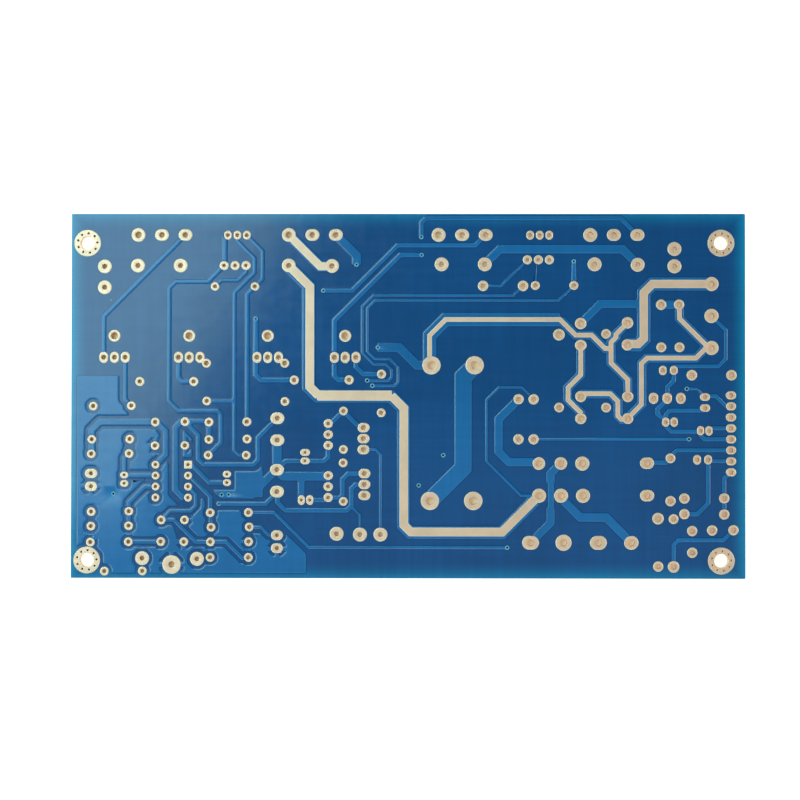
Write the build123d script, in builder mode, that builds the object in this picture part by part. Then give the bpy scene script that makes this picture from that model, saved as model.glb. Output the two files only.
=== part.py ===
from build123d import *
import os

# Bare double-sided printed board of an audio power amplifier, lying with its solder side up.
# Every place on the board is measured from its lower left corner, x to the right and y up.

# Driving dimensions, millimetres
board_length = 156.0
board_width = 84.4
laminate_thickness = 1.6
copper_thickness = 0.07
finish_thickness = 0.02
mounting_bore = 3.2
mounting_ring = 6.1
ring_sides = 16
mounting_spacing_x = 146.7
mounting_spacing_y = 73.45
first_mounting_x = 3.7
first_mounting_y = 4.15
plating_thickness = 0.05
pour_clearance = 0.75
lead_hole_sides = 6
corner_cut = 0.293

# Lead pitches
narrow_pitch = 1.95
small_pitch = 2.2
driver_pitch = 2.5
inch_pitch = 2.54
ceramic_pitch = 3.0
spread_pitch = 3.15
electrolytic_pitch = 3.5
double_pitch = 5.08
transistor_pitch = 5.45
terminal_pitch = 7.4
coil_pitch = 7.5
reservoir_pitch = 10.0

# Levels above the surface that the board lies on
laminate_base = copper_thickness
laminate_top = laminate_base + laminate_thickness
track_top = laminate_top + copper_thickness
land_thickness = copper_thickness + finish_thickness


def row(x, y, pitch, count):
    """Centres of a row of lands that runs to the right."""
    return [(x + pitch * n, y) for n in range(count)]


def column(x, y, pitch, count):
    """Centres of a column of lands that runs down."""
    return [(x, y - pitch * n) for n in range(count)]


# The screw holes stand at the corners of a rectangle
mounting_holes = [
    (x, y)
    for x in (first_mounting_x, first_mounting_x + mounting_spacing_x)
    for y in (first_mounting_y, first_mounting_y + mounting_spacing_y)
]

# The power transistors stand along the upper edge, the drivers below them
transistor_row = 79.5
transistor_starts = [15.5, 50.4, 85.1, 120.2]
driver_row = 51.1
driver_centres = [10.0, 27.35, 45.55, 63.5]
driver_tab_row = 56.1

# Lands by what is soldered into them: width, height, lead hole, centres.
# A land with a lead hole of zero is left closed.
land_groups = {
    "power_transistor_lands": [
        (3.15, 3.15, 0, [(x, transistor_row) for x in transistor_starts]),
        (3.15, 2.65, 0, [
            (x + transistor_pitch * n, transistor_row) for x in transistor_starts for n in (1, 2)
        ]),
    ],
    "emitter_resistor_lands": [
        (3.15, 3.15, 0, [(15.4, 72.4), (25.3, 72.4), (50.4, 72.4), (60.4, 72.3)]),
        (3.15, 3.15, 0, [(85.8, 72.7), (95.8, 72.7), (121.2, 72.7), (131.15, 72.6)]),
    ],
    "output_coil_lands": [
        (3.15, 3.15, 0, [(7.7, 72.2), (7.7, 67.35), (139.65, 76.25), (139.65, 72.25)]),
    ],
    "output_terminal_lands": [
        (3.2, 3.2, 1.4, column(148.2, 68.15, terminal_pitch, 3)),
    ],
    "bias_transistor_lands": [
        (1.7, 2.0, 0, row(36.25, 79.45, small_pitch, 3) + row(106.3, 79.45, small_pitch, 3)),
    ],
    "bias_trimmer_lands": [
        (2.05, 2.05, 0, row(35.4, 72.4, inch_pitch, 3) + row(105.65, 73.75, inch_pitch, 3)),
    ],
    "gate_resistor_lands": [
        (1.9, 1.9, 0, [(33.3, 67.55), (42.55, 67.55)]),
        (2.35, 2.35, 0, [(95.4, 67.7), (104.65, 67.7)]),
        (2.0, 2.0, 0, [(107.5, 67.8), (116.4, 67.8)]),
    ],
    "driver_transistor_lands": [
        (2.0, 2.55, 0, [
            (x + driver_pitch * n, driver_row) for x in driver_centres for n in (-1, 0, 1)
        ]),
        (2.0, 2.0, 0, [(31.35, 49.75), (49.5, 49.75)]),
    ],
    "driver_tab_lands": [
        (2.7, 2.7, 1.6, [(x, driver_tab_row) for x in driver_centres]),
    ],
    "driver_resistor_lands": [
        (2.05, 2.05, 0, [(15.9, 45.5), (28.4, 45.5), (51.7, 45.85), (64.4, 45.9), (71.9, 47.25)]),
    ],
    "reservoir_capacitor_lands": [
        (4.2, 4.2, 1.8, row(83.45, 49.3, reservoir_pitch, 2) + row(83.15, 17.95, reservoir_pitch, 2)),
    ],
    "relay_lands": [
        (2.6, 2.6, 0, column(118.0, 59.0, double_pitch, 2) + column(128.8, 59.15, double_pitch, 2)),
        (2.5, 2.5, 0, column(118.0, 42.1, double_pitch, 2) + column(128.85, 42.1, double_pitch, 2)),
        (2.6, 2.6, 0, [(112.95, 56.4)]),
        (2.15, 2.15, 0, [(123.85, 56.6), (113.0, 39.55), (123.85, 39.55)]),
    ],
    "coupling_capacitor_lands": [
        (2.3, 2.3, 0, row(103.6, 41.45, electrolytic_pitch, 2) + row(103.6, 32.2, electrolytic_pitch, 2)),
    ],
    "fuse_clip_lands": [
        (2.85, 2.85, 0, row(108.3, 26.6, double_pitch, 2)),
        (3.2, 3.2, 0, row(108.35, 19.15, double_pitch, 3) + [(118.35, 26.6)]),
    ],
    "supply_terminal_lands": [
        (3.85, 3.1, 1.6, [(106.4, 8.3), (122.05, 8.3)]),
        (3.65, 3.65, 1.6, [(114.0, 8.3)]),
        (3.25, 3.1, 1.6, [(129.65, 8.3)]),
    ],
    "protection_chip_lands": [
        (2.3, 1.8, 0, column(152.67, 42.4, inch_pitch, 8)),
    ],
    "protection_transistor_lands": [
        (2.1, 2.5, 0, row(134.8, 41.7, spread_pitch, 3)),
        (1.7, 2.1, 0, row(136.95, 48.15, inch_pitch, 2)),
        (2.3, 1.65, 0, column(146.7, 42.0, inch_pitch, 2)),
        (1.6, 2.1, 0, row(137.6, 36.2, narrow_pitch, 2) + row(145.65, 34.2, narrow_pitch, 2)),
        (1.75, 2.15, 0, row(144.85, 27.5, inch_pitch, 2)),
    ],
    "protection_resistor_lands": [
        (2.35, 2.35, 0, [(143.65, 47.05), (152.8, 47.05), (136.6, 63.35), (140.7, 63.35)]),
        (2.2, 2.2, 0, [(136.6, 53.5), (140.8, 53.5), (138.7, 27.85), (139.4, 13.8)]),
        (2.3, 2.3, 0, [(138.7, 17.95), (141.9, 18.55), (141.9, 14.95), (143.7, 11.05)]),
        (2.3, 2.3, 0, [(148.3, 11.2), (153.2, 11.25), (143.7, 6.05), (135.85, 2.85)]),
        (2.3, 2.3, 0, [(151.1, 18.6), (151.1, 14.9)]),
        (2.6, 2.6, 0, [(135.8, 13.9), (139.4, 2.8)]),
    ],
    "relay_coil_lands": [
        (3.2, 2.55, 0, column(133.3, 26.7, coil_pitch, 2)),
    ],
    "film_capacitor_lands": [
        (3.15, 2.65, 0, column(47.8, 37.0, double_pitch, 2) + column(47.75, 25.1, double_pitch, 2)),
        (2.75, 2.2, 0, column(47.75, 9.95, ceramic_pitch, 2)),
        (2.8, 2.15, 0, column(4.65, 24.2, ceramic_pitch, 2)),
    ],
    "bias_diode_lands": [
        (2.7, 2.1, 0, column(67.75, 34.85, inch_pitch, 3) + column(67.97, 24.25, inch_pitch, 3)),
    ],
    "input_pair_lands": [
        (2.1, 2.0, 0, column(59.6, 35.8, inch_pitch, 3) + column(59.6, 23.75, inch_pitch, 3)),
        (2.2, 1.5, 0, column(54.25, 29.1, narrow_pitch, 2)),
        (1.6, 2.2, 0, row(53.4, 18.1, narrow_pitch, 2)),
        (1.85, 1.5, 0, column(36.15, 24.05, narrow_pitch, 2) + column(12.35, 23.85, narrow_pitch, 2)),
    ],
    "preamplifier_chip_lands": [
        (1.75, 1.75, 0, column(19.6, 26.25, inch_pitch, 4) + column(27.15, 23.7, inch_pitch, 3)),
    ],
    "input_connector_lands": [
        (3.15, 3.15, 0, [(61.55, 10.3), (66.95, 10.15), (71.7, 10.15), (16.55, 4.6), (29.25, 4.45)]),
        (4.25, 4.25, 0, [(23.35, 3.15)]),
    ],
    "signal_resistor_lands": [
        (1.95, 1.95, 0, [(5.1, 39.8), (13.95, 39.9), (31.45, 41.0), (49.55, 40.9)]),
        (2.0, 2.0, 0, [(19.5, 36.1), (26.4, 36.2), (31.95, 36.1), (40.75, 36.2)]),
        (1.95, 1.95, 0, [(63.1, 38.7), (71.85, 38.3), (40.8, 32.2), (31.95, 32.1)]),
        (1.95, 1.95, 0, [(4.8, 32.1), (13.6, 32.15), (19.45, 30.65), (26.4, 30.7)]),
        (1.95, 1.95, 0, [(4.7, 28.75), (13.45, 28.8), (31.8, 28.45), (40.6, 28.45)]),
        (1.95, 1.95, 0, [(63.1, 29.8), (63.05, 26.7), (63.1, 17.8)]),
        (1.95, 1.95, 0, [(4.7, 15.35), (13.45, 15.45), (32.3, 15.15), (41.15, 15.2)]),
        (1.95, 1.95, 0, [(20.95, 13.45), (26.35, 13.45), (32.5, 11.8), (41.35, 11.85)]),
        (1.95, 1.95, 0, [(4.65, 12.0), (13.4, 12.1), (4.55, 8.3), (13.35, 8.4)]),
        (1.95, 1.95, 0, [(20.85, 8.45), (26.2, 8.4), (32.35, 8.4), (41.2, 8.45)]),
        (1.95, 1.95, 0, [(32.3, 4.8), (41.15, 4.8), (7.8, 1.6), (16.6, 1.65)]),
    ],
}

# The chip's first pin has a square land
first_pin = (27.15, 26.25)
first_pin_size = 1.75

# Tracks by the circuit that they serve: width and the centre line's corners
track_groups = {
    "output_drive_tracks": [
        (1.0, [(26.4, 79.5), (7.5, 60.6), (7.5, 51.1)]),
        (2.1, [(61.3, 79.5), (66.1, 74.7), (66.1, 72.6)]),
        (1.0, [(58.4, 66.6), (65.1, 66.6), (75.6, 77.1), (93.6, 77.1), (96.0, 79.5)]),
        (1.1, [(81.2, 74.85), (76.2, 74.85), (61.0, 59.65), (61.0, 46.85), (61.95, 45.9), (64.4, 45.9)]),
        (1.05, [(81.1, 79.0), (81.1, 82.35), (82.15, 83.4), (127.2, 83.4), (131.1, 79.5)]),
    ],
    "bias_tracks": [
        (0.9, [
            (35.4, 72.4), (31.7, 68.7), (24.2, 68.7), (22.65, 67.15), (22.65, 41.05), (25.0, 38.7),
            (33.95, 38.7), (34.7, 37.95), (34.7, 31.35), (31.8, 28.45),
        ]),
        (1.15, [(35.5, 79.45), (35.5, 72.4)]),
        (0.7, [
            (38.45, 79.45), (38.45, 78.1), (42.45, 74.1), (42.45, 70.75), (37.8, 66.1), (37.8, 29.6),
            (38.95, 28.45), (40.6, 28.45),
        ]),
        (0.8, [(31.45, 41.0), (37.8, 41.0)]),
        (0.7, [(40.65, 79.45), (44.3, 75.8), (44.3, 69.3), (42.55, 67.55)]),
        (0.7, [(40.5, 72.4), (40.5, 70.9), (38.6, 69.0), (34.75, 69.0), (33.3, 67.55)]),
        (0.85, [(42.55, 67.55), (40.75, 65.75), (40.75, 36.2)]),
        (0.6, [(95.4, 67.7), (99.6, 67.7), (105.65, 73.75)]),
        (0.6, [(107.5, 73.75), (107.5, 67.8)]),
        (1.15, [(116.4, 73.4), (116.4, 67.8)]),
    ],
    "feedback_tracks": [
        (0.6, [
            (104.65, 67.7), (102.45, 65.5), (70.1, 65.5), (67.45, 62.85), (67.45, 52.2), (70.15, 49.5),
            (73.0, 49.5), (74.25, 48.25), (74.25, 46.4), (73.6, 45.75), (68.6, 45.75),
        ]),
        (0.6, [
            (116.4, 67.8), (112.95, 64.35), (70.5, 64.35), (68.65, 62.5), (68.65, 52.5), (70.4, 50.75),
            (73.9, 50.75), (75.75, 48.9), (75.75, 45.3), (75.0, 44.55), (69.8, 44.55),
        ]),
        (0.6, [(107.15, 32.2), (143.0, 32.25)]),
    ],
    "driver_tracks": [
        (1.15, [(42.75, 60.1), (42.75, 47.05), (43.95, 45.85), (51.7, 45.85)]),
        (1.1, [(24.85, 51.1), (24.85, 46.4), (25.75, 45.5), (28.4, 45.5)]),
        (0.95, [(12.5, 51.1), (12.5, 41.35), (13.95, 39.9)]),
        (1.05, [(66.0, 51.1), (66.0, 48.9), (67.65, 47.25), (71.9, 47.25)]),
    ],
    "heavy_supply_tracks": [
        (2.0, [(95.8, 72.7), (99.3, 76.2), (127.65, 76.2), (131.15, 72.7)]),
        (4.0, [(93.5, 49.3), (90.8, 46.6), (90.8, 25.6), (83.15, 17.95)]),
        (2.0, [(136.6, 63.35), (140.7, 63.35)]),
    ],
    "fuse_tracks": [
        (1.95, [(103.6, 41.45), (99.0, 36.85), (99.0, 29.3), (101.4, 26.9), (108.3, 26.9)]),
        (1.9, [(113.35, 26.6), (111.0, 24.25), (111.0, 22.0)]),
        (1.4, [(111.1, 22.1), (111.1, 16.3)]),
        (1.9, [(111.0, 16.4), (111.0, 12.9), (106.4, 8.3)]),
        (2.0, [(113.1, 18.9), (117.85, 14.15), (123.85, 14.15), (129.65, 8.35)]),
    ],
    "relay_drive_tracks": [
        (0.85, [(148.2, 60.75), (151.5, 57.45), (151.5, 50.8), (149.8, 49.1), (139.8, 49.1)]),
        (1.0, [(139.5, 48.15), (139.5, 45.75), (138.0, 44.25), (138.0, 41.7)]),
        (0.55, [(142.5, 43.9), (144.8, 43.9), (146.7, 42.0)]),
        (0.9, [(146.7, 42.2), (149.2, 42.2), (151.55, 39.85), (152.67, 39.85)]),
        (1.05, [(137.95, 41.4), (135.7, 39.15), (135.7, 38.1), (137.6, 36.2)]),
        (0.95, [
            (146.7, 38.85), (138.55, 38.85), (137.6, 37.9), (137.6, 35.3), (138.9, 34.0),
            (145.65, 34.0),
        ]),
    ],
    "protection_tracks": [
        (0.9, [(147.6, 34.8), (152.67, 34.8)]),
        (1.0, [(145.65, 34.2), (145.65, 33.1), (146.5, 32.25), (152.67, 32.25)]),
        (0.9, [(138.7, 28.25), (140.2, 29.7), (152.67, 29.7)]),
        (1.05, [(133.3, 26.85), (138.2, 26.85)]),
        (0.9, [(147.4, 27.2), (152.67, 27.2)]),
        (1.05, [(147.4, 27.5), (147.4, 17.45), (144.9, 14.95), (141.9, 14.95)]),
        (0.95, [(152.67, 24.65), (151.1, 23.1), (151.1, 14.9)]),
        (0.95, [(153.2, 11.25), (150.9, 8.95), (140.55, 8.95), (139.4, 7.8), (139.4, 2.8)]),
    ],
    "input_stage_tracks": [
        (0.6, [(67.75, 29.85), (70.45, 29.85), (71.7, 28.6), (71.7, 10.15)]),
        (1.05, [(67.97, 24.2), (64.2, 24.2), (62.9, 22.9), (62.9, 17.8)]),
        (0.95, [(59.6, 18.65), (62.9, 18.65)]),
        (1.05, [
            (67.97, 21.7), (65.95, 21.7), (64.95, 20.7), (64.95, 16.75), (63.9, 15.7), (49.75, 15.7),
            (47.9, 17.55), (47.9, 20.0),
        ]),
        (0.55, [(64.95, 16.6), (66.95, 14.6), (66.95, 10.15)]),
        (1.0, [(55.4, 18.1), (59.6, 18.1)]),
        (0.85, [(59.5, 35.8), (59.5, 33.25)]),
        (1.0, [(60.15, 35.8), (63.05, 38.7), (66.9, 34.85), (67.75, 34.85)]),
    ],
    "signal_supply_tracks": [
        (2.05, [(47.75, 25.1), (49.25, 23.6), (59.6, 23.6)]),
        (1.55, [(53.35, 23.6), (53.35, 18.1)]),
        (1.0, [(59.6, 23.75), (59.6, 21.2)]),
        (2.2, [(47.75, 31.9), (47.75, 25.1)]),
        (1.05, [(59.55, 30.7), (59.55, 28.05), (58.6, 27.1), (49.75, 27.1), (47.75, 25.1)]),
    ],
    "feedback_network_tracks": [
        (1.0, [
            (47.8, 37.0), (43.3, 32.5), (43.3, 27.35), (42.25, 26.3), (30.75, 26.3), (29.5, 27.55),
            (29.5, 33.1), (26.4, 36.2),
        ]),
        (1.0, [(26.4, 36.3), (31.95, 36.3)]),
        (1.15, [(31.95, 36.1), (31.95, 32.1)]),
        (0.7, [(41.35, 11.75), (44.1, 11.75), (45.9, 9.95), (47.75, 9.95)]),
        (0.72, [(41.15, 15.2), (47.1, 15.2), (55.15, 7.15), (101.0, 7.15)]),
    ],
    "preamplifier_tracks": [
        (0.9, [(20.95, 13.45), (23.95, 13.45), (29.0, 8.4), (36.0, 8.4), (39.8, 4.6), (41.15, 4.6)]),
        (0.8, [(20.95, 13.45), (23.05, 15.55), (27.75, 15.55), (28.95, 16.75), (28.95, 19.4), (27.15, 21.2)]),
        (1.0, [(27.55, 23.65), (32.3, 18.9), (32.3, 15.15)]),
        (0.95, [(32.45, 15.15), (32.45, 11.8)]),
        (1.05, [(28.0, 26.2), (32.1, 22.1), (36.15, 22.1)]),
        (1.4, [(26.4, 36.2), (25.5, 36.2), (24.2, 34.9), (24.2, 20.45), (26.0, 18.65), (27.15, 18.65)]),
        (0.95, [(34.25, 17.2), (45.1, 17.2), (47.9, 20.0)]),
    ],
    "preamplifier_input_tracks": [
        (1.05, [(19.6, 21.15), (17.1, 21.15), (13.45, 17.5), (13.45, 12.1)]),
        (1.1, [(12.35, 23.75), (19.6, 23.75)]),
        (1.0, [(13.4, 28.8), (12.35, 27.75), (12.35, 23.85)]),
        (1.3, [(19.5, 36.1), (19.85, 36.1), (21.95, 34.0), (21.95, 28.6), (19.6, 26.25)]),
        (1.65, [(19.5, 36.1), (6.7, 36.1), (4.75, 34.15), (4.75, 28.75)]),
        (0.9, [(13.35, 8.4), (20.85, 8.4)]),
    ],
    "output_link_copper": [
        (2.5, [(50.4, 79.5), (57.7, 72.2), (60.4, 72.2)]),
    ],
    "main_rail_copper": [
        (2.95, [
            (50.3, 72.3), (55.0, 67.6), (55.0, 44.2), (57.1, 42.1), (74.1, 42.1), (77.0, 39.2),
            (77.0, 12.2), (78.6, 10.6), (99.85, 10.6), (108.35, 19.1),
        ]),
        (0.6, [
            (107.15, 41.45), (104.4, 44.2), (99.1, 44.2), (96.2, 41.3), (96.2, 27.1), (104.15, 19.15),
            (108.35, 19.15),
        ]),
    ],
    "output_rail_copper": [
        (3.1, [
            (148.2, 68.15), (134.6, 68.15), (132.55, 66.1), (132.55, 55.35), (131.3, 54.1),
            (128.8, 54.1),
        ]),
        (1.9, [(118.0, 59.0), (122.55, 63.55), (132.55, 63.55)]),
    ],
    "relay_rail_copper": [
        (2.1, [(71.05, 53.4), (76.0, 53.4), (80.1, 49.3), (83.45, 49.3)]),
        (3.1, [(83.05, 49.3), (83.05, 56.2), (86.75, 59.9), (113.2, 59.9)]),
        (2.1, [(111.5, 59.4), (113.7, 59.4), (116.8, 56.3), (120.5, 56.3), (123.6, 53.2), (125.0, 53.2)]),
        (2.1, [
            (128.8, 59.15), (126.15, 56.5), (126.15, 55.8), (125.0, 54.65), (125.0, 49.85), (128.85, 46.0),
            (128.85, 42.1),
        ]),
    ],
    "relay_contact_copper": [
        (2.1, [
            (118.0, 53.95), (118.0, 47.1), (114.95, 44.05), (114.95, 41.4), (118.0, 38.35),
            (118.0, 37.1),
        ]),
        (2.1, [(118.0, 42.7), (124.8, 42.7), (126.6, 40.9), (126.6, 37.65), (127.5, 36.75), (128.85, 36.75)]),
    ],
    "return_rail_copper": [
        (2.1, [(140.8, 63.35), (140.8, 60.15), (147.6, 53.35), (148.2, 53.35)]),
        (2.1, [
            (148.2, 53.2), (146.8, 53.2), (144.6, 51.0), (133.35, 51.0), (132.1, 49.75), (132.1, 40.35),
            (128.85, 37.1),
        ]),
    ],
}

# Bare stripes that the lacquer leaves open along the heavy tracks
bare_stripes = {
    "output_link_bare_stripe": [
        (1.8, [(50.4, 79.5), (57.7, 72.2), (60.4, 72.2)]),
    ],
    "main_rail_bare_stripe": [
        (2.0, [(50.4, 72.4), (55.3, 67.5), (55.3, 44.3), (57.35, 42.25)]),
        (2.3, [(57.0, 42.25), (74.3, 42.25)]),
        (2.0, [
            (74.2, 42.25), (77.1, 39.35), (77.1, 12.35), (78.7, 10.75), (99.85, 10.75), (108.35, 19.25),
        ]),
    ],
    "output_rail_bare_stripe": [
        (1.9, [
            (148.2, 68.15), (134.6, 68.15), (132.55, 66.1), (132.55, 55.5), (131.3, 54.25),
            (128.8, 54.25),
        ]),
    ],
    "relay_rail_bare_stripe": [
        (1.05, [
            (83.05, 49.3), (83.05, 56.2), (86.75, 59.9), (113.2, 59.9), (116.8, 56.3), (120.5, 56.3),
            (123.6, 53.2), (125.0, 53.2),
        ]),
        (1.05, [
            (128.8, 59.15), (126.15, 56.5), (126.15, 55.8), (125.0, 54.65), (125.0, 49.85), (128.85, 46.0),
            (128.85, 42.1),
        ]),
    ],
    "relay_contact_bare_stripe": [
        (1.05, [
            (118.0, 53.95), (118.0, 47.1), (115.05, 44.15), (115.05, 41.3), (118.0, 38.35),
            (118.0, 37.1),
        ]),
        (1.05, [
            (118.0, 42.75), (124.8, 42.75), (126.55, 41.0), (126.55, 37.65), (127.4, 36.8),
            (128.85, 36.8),
        ]),
    ],
    "return_rail_bare_stripe": [
        (1.05, [(140.8, 63.35), (140.8, 60.15), (147.6, 53.35), (148.2, 53.35)]),
        (1.05, [
            (148.2, 53.2), (146.8, 53.2), (144.6, 51.0), (133.3, 51.0), (132.0, 49.7), (132.0, 40.25),
            (128.85, 37.1),
        ]),
    ],
}

# Copper pours: the region's corners, then the spokes that tie lands to the pour
pours = {
    "ground_pour": (
        [
            (1.35, 1.2), (1.35, 46.8), (11.05, 46.8), (11.05, 41.0), (13.2, 38.85), (13.2, 36.1),
            (19.85, 36.1), (21.95, 34.0), (21.95, 28.6), (22.55, 26.1), (22.55, 19.2), (24.7, 17.05),
            (24.7, 15.55), (20.95, 13.45), (23.95, 13.45), (29.0, 8.4), (36.0, 8.4), (39.8, 4.6),
            (41.2, 8.4), (41.2, 10.35), (43.9, 10.35), (47.75, 8.4), (50.1, 10.0), (54.5, 5.7), (54.5, 1.2),
        ],
        [
            (1.1, [(17.3, 30.6), (19.45, 30.6)]),
            (1.2, [(19.7, 30.65), (19.7, 32.8)]),
            (1.0, [(2.3, 21.3), (7.0, 21.3)]),
            (1.0, [(4.65, 19.0), (4.65, 21.25)]),
            (0.9, [(4.55, 8.3), (6.0, 9.75)]),
            (1.0, [(20.3, 3.15), (26.4, 3.15)]),
            (1.0, [(23.35, 3.15), (23.35, 6.3)]),
            (1.0, [(24.2, 8.4), (26.2, 8.4)]),
            (1.0, [(26.2, 6.4), (26.2, 8.4)]),
            (0.9, [(45.3, 6.85), (50.3, 6.85)]),
            (0.9, [(47.75, 4.6), (47.75, 6.85)]),
        ],
    ),
    "feedback_ground_pour": (
        [
            (26.35, 13.45), (26.35, 11.0), (29.0, 8.4), (36.0, 8.4), (39.8, 4.6), (41.2, 6.3),
            (41.2, 8.45), (41.35, 11.85), (41.2, 13.6), (39.1, 15.7), (32.4, 15.7), (30.75, 18.3),
            (30.0, 18.3), (28.95, 16.2), (27.75, 15.0),
        ],
        [
            (0.8, [(26.35, 13.5), (28.6, 13.5)]),
            (0.8, [(39.0, 8.45), (41.2, 8.45)]),
        ],
    ),
    "amplifier_supply_pour": (
        [
            (37.95, 24.75), (43.0, 24.75), (44.35, 25.95), (44.5, 23.3), (44.5, 18.75), (42.7, 18.75),
            (42.3, 18.35), (34.8, 18.35), (32.8, 20.4), (37.95, 20.4),
        ],
        [
            (1.8, [(43.6, 21.1), (47.6, 25.1)]),
        ],
    ),
    "decoupling_pour": (
        [(25.95, 28.0), (28.05, 28.0), (28.05, 32.35), (26.4, 34.0), (25.95, 34.0)],
        [
            (0.9, [(26.4, 28.4), (26.4, 33.0)]),
        ],
    ),
}


def board_plane(height):
    """The level plane at a height, with its origin over the board's lower left corner."""
    return Plane(origin=(-board_length / 2, -board_width / 2, height))


def land_outline(width, height):
    """A round or oval land drawn eight-sided, as a rectangle with its corners cut."""
    with BuildSketch(mode=Mode.PRIVATE) as outline:
        Rectangle(width, height)
        chamfer(outline.vertices(), corner_cut * min(width, height))
    return outline.sketch


def draw_lands(groups):
    """Draws lands in the open sketch."""
    for width, height, _, centres in groups:
        with Locations(*centres):
            add(land_outline(width, height))


def clear_lands(outline, margin=0):
    """Takes the lands that the open sketch runs into out of it, with a margin all round."""
    for width, height, _, centres in every_land:
        reach = max(width, height) / 2 + margin
        met = [spot for spot in centres if outline.sketch_local.distance_to(Vector(*spot)) < reach]
        if met:
            with Locations(*met):
                add(land_outline(width + 2 * margin, height + 2 * margin), mode=Mode.SUBTRACT)


def drill_leads(groups):
    """Cuts the many-sided lead holes of the larger lands in the open sketch."""
    for _, _, lead_hole, centres in groups:
        if lead_hole:
            with Locations(*centres):
                RegularPolygon(lead_hole / 2, lead_hole_sides, mode=Mode.SUBTRACT)


def draw_tracks(tracks):
    """Draws tracks with mitred corners in the open sketch."""
    for width, corners in tracks:
        with BuildLine() as centre_line:
            Polyline(*corners)
        trace(centre_line.line, line_width=width)


def clear_tracks(outline, margin):
    """Takes the tracks that the open sketch runs into out of it, with a margin on each side."""
    for width, corners in every_track:
        with BuildLine() as centre_line:
            Polyline(*corners)
        if outline.sketch_local.distance_to(centre_line.line) < width / 2 + margin:
            trace(centre_line.line, line_width=width + 2 * margin, mode=Mode.SUBTRACT)


os.makedirs("parts", exist_ok=True)

ring_group = [(mounting_ring, mounting_ring, 0, mounting_holes)]
pin_group = [(first_pin_size, first_pin_size, 0, [first_pin])]
component_lands = [group for groups in land_groups.values() for group in groups]
every_land = component_lands + pin_group + ring_group
every_track = [track for tracks in track_groups.values() for track in tracks]

# The glass-epoxy board, with its mounting holes and the larger lead holes
with BuildPart() as laminate:
    with BuildSketch(board_plane(laminate_base)):
        Rectangle(board_length, board_width, align=(Align.MIN, Align.MIN))
        with Locations(*mounting_holes):
            RegularPolygon(mounting_bore / 2 + plating_thickness, ring_sides, mode=Mode.SUBTRACT)
        drill_leads(every_land)
    extrude(amount=laminate_thickness)
laminate.part.label = "laminate"
export_step(laminate.part, "parts/laminate.step")

# Plated eyelets of the four screw holes: a many-sided ring on each face, joined by a barrel
with BuildPart() as mounting_eyelets:
    with BuildSketch(board_plane(0)):
        with Locations(*mounting_holes):
            RegularPolygon(mounting_ring / 2, ring_sides)
    extrude(amount=copper_thickness)
    with BuildSketch(board_plane(laminate_base)):
        with Locations(*mounting_holes):
            RegularPolygon(mounting_bore / 2 + plating_thickness, ring_sides)
    extrude(amount=laminate_thickness)
    with BuildSketch(board_plane(laminate_top)):
        with Locations(*mounting_holes):
            RegularPolygon(mounting_ring / 2, ring_sides)
    extrude(amount=land_thickness)
    with BuildSketch(board_plane(0)):
        with Locations(*mounting_holes):
            Circle(mounting_bore / 2)
    extrude(amount=laminate_top + land_thickness, mode=Mode.SUBTRACT)
mounting_eyelets.part.label = "mounting_eyelets"
export_step(mounting_eyelets.part, "parts/mounting_eyelets.step")

# Gold-finished lands, one node for each kind of component
for name, groups in land_groups.items():
    with BuildPart() as lands:
        with BuildSketch(board_plane(laminate_top)):
            draw_lands(groups)
            drill_leads(groups)
        extrude(amount=land_thickness)
    lands.part.label = name
    export_step(lands.part, f"parts/{name}.step")

with BuildPart() as first_pin_land:
    with BuildSketch(board_plane(laminate_top)):
        with Locations(first_pin):
            Rectangle(first_pin_size, first_pin_size)
    extrude(amount=land_thickness)
first_pin_land.part.label = "first_pin_land"
export_step(first_pin_land.part, "parts/first_pin_land.step")

# Lacquered tracks, which stop where they meet a land
for name, tracks in track_groups.items():
    with BuildPart() as copper:
        with BuildSketch(board_plane(laminate_top)) as outline:
            draw_tracks(tracks)
            clear_lands(outline)
        extrude(amount=copper_thickness)
    copper.part.label = name
    export_step(copper.part, f"parts/{name}.step")

# Bare gold stripes along the middle of the heavy tracks
for name, stripes in bare_stripes.items():
    with BuildPart() as stripe:
        with BuildSketch(board_plane(track_top)) as outline:
            draw_tracks(stripes)
            clear_lands(outline)
        extrude(amount=finish_thickness)
    stripe.part.label = name
    export_step(stripe.part, f"parts/{name}.step")

# Pours fill their regions up to a gap round every other track and land
for name, (region, spokes) in pours.items():
    with BuildPart() as pour:
        with BuildSketch(board_plane(laminate_top)) as outline:
            Polygon(*region, align=None)
            clear_tracks(outline, pour_clearance)
            clear_lands(outline, pour_clearance)
            draw_tracks(spokes)
            clear_lands(outline)
        extrude(amount=copper_thickness)
    pour.part.label = name
    export_step(pour.part, f"parts/{name}.step")
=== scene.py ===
"""Looks of the bare amplifier board: drilled laminate, blue lacquer, masked copper and gold lands."""

import math

import bmesh
import bpy
import numpy as np
from mathutils import Matrix, Quaternion, Vector
from mathutils.geometry import delaunay_2d_cdt


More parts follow.
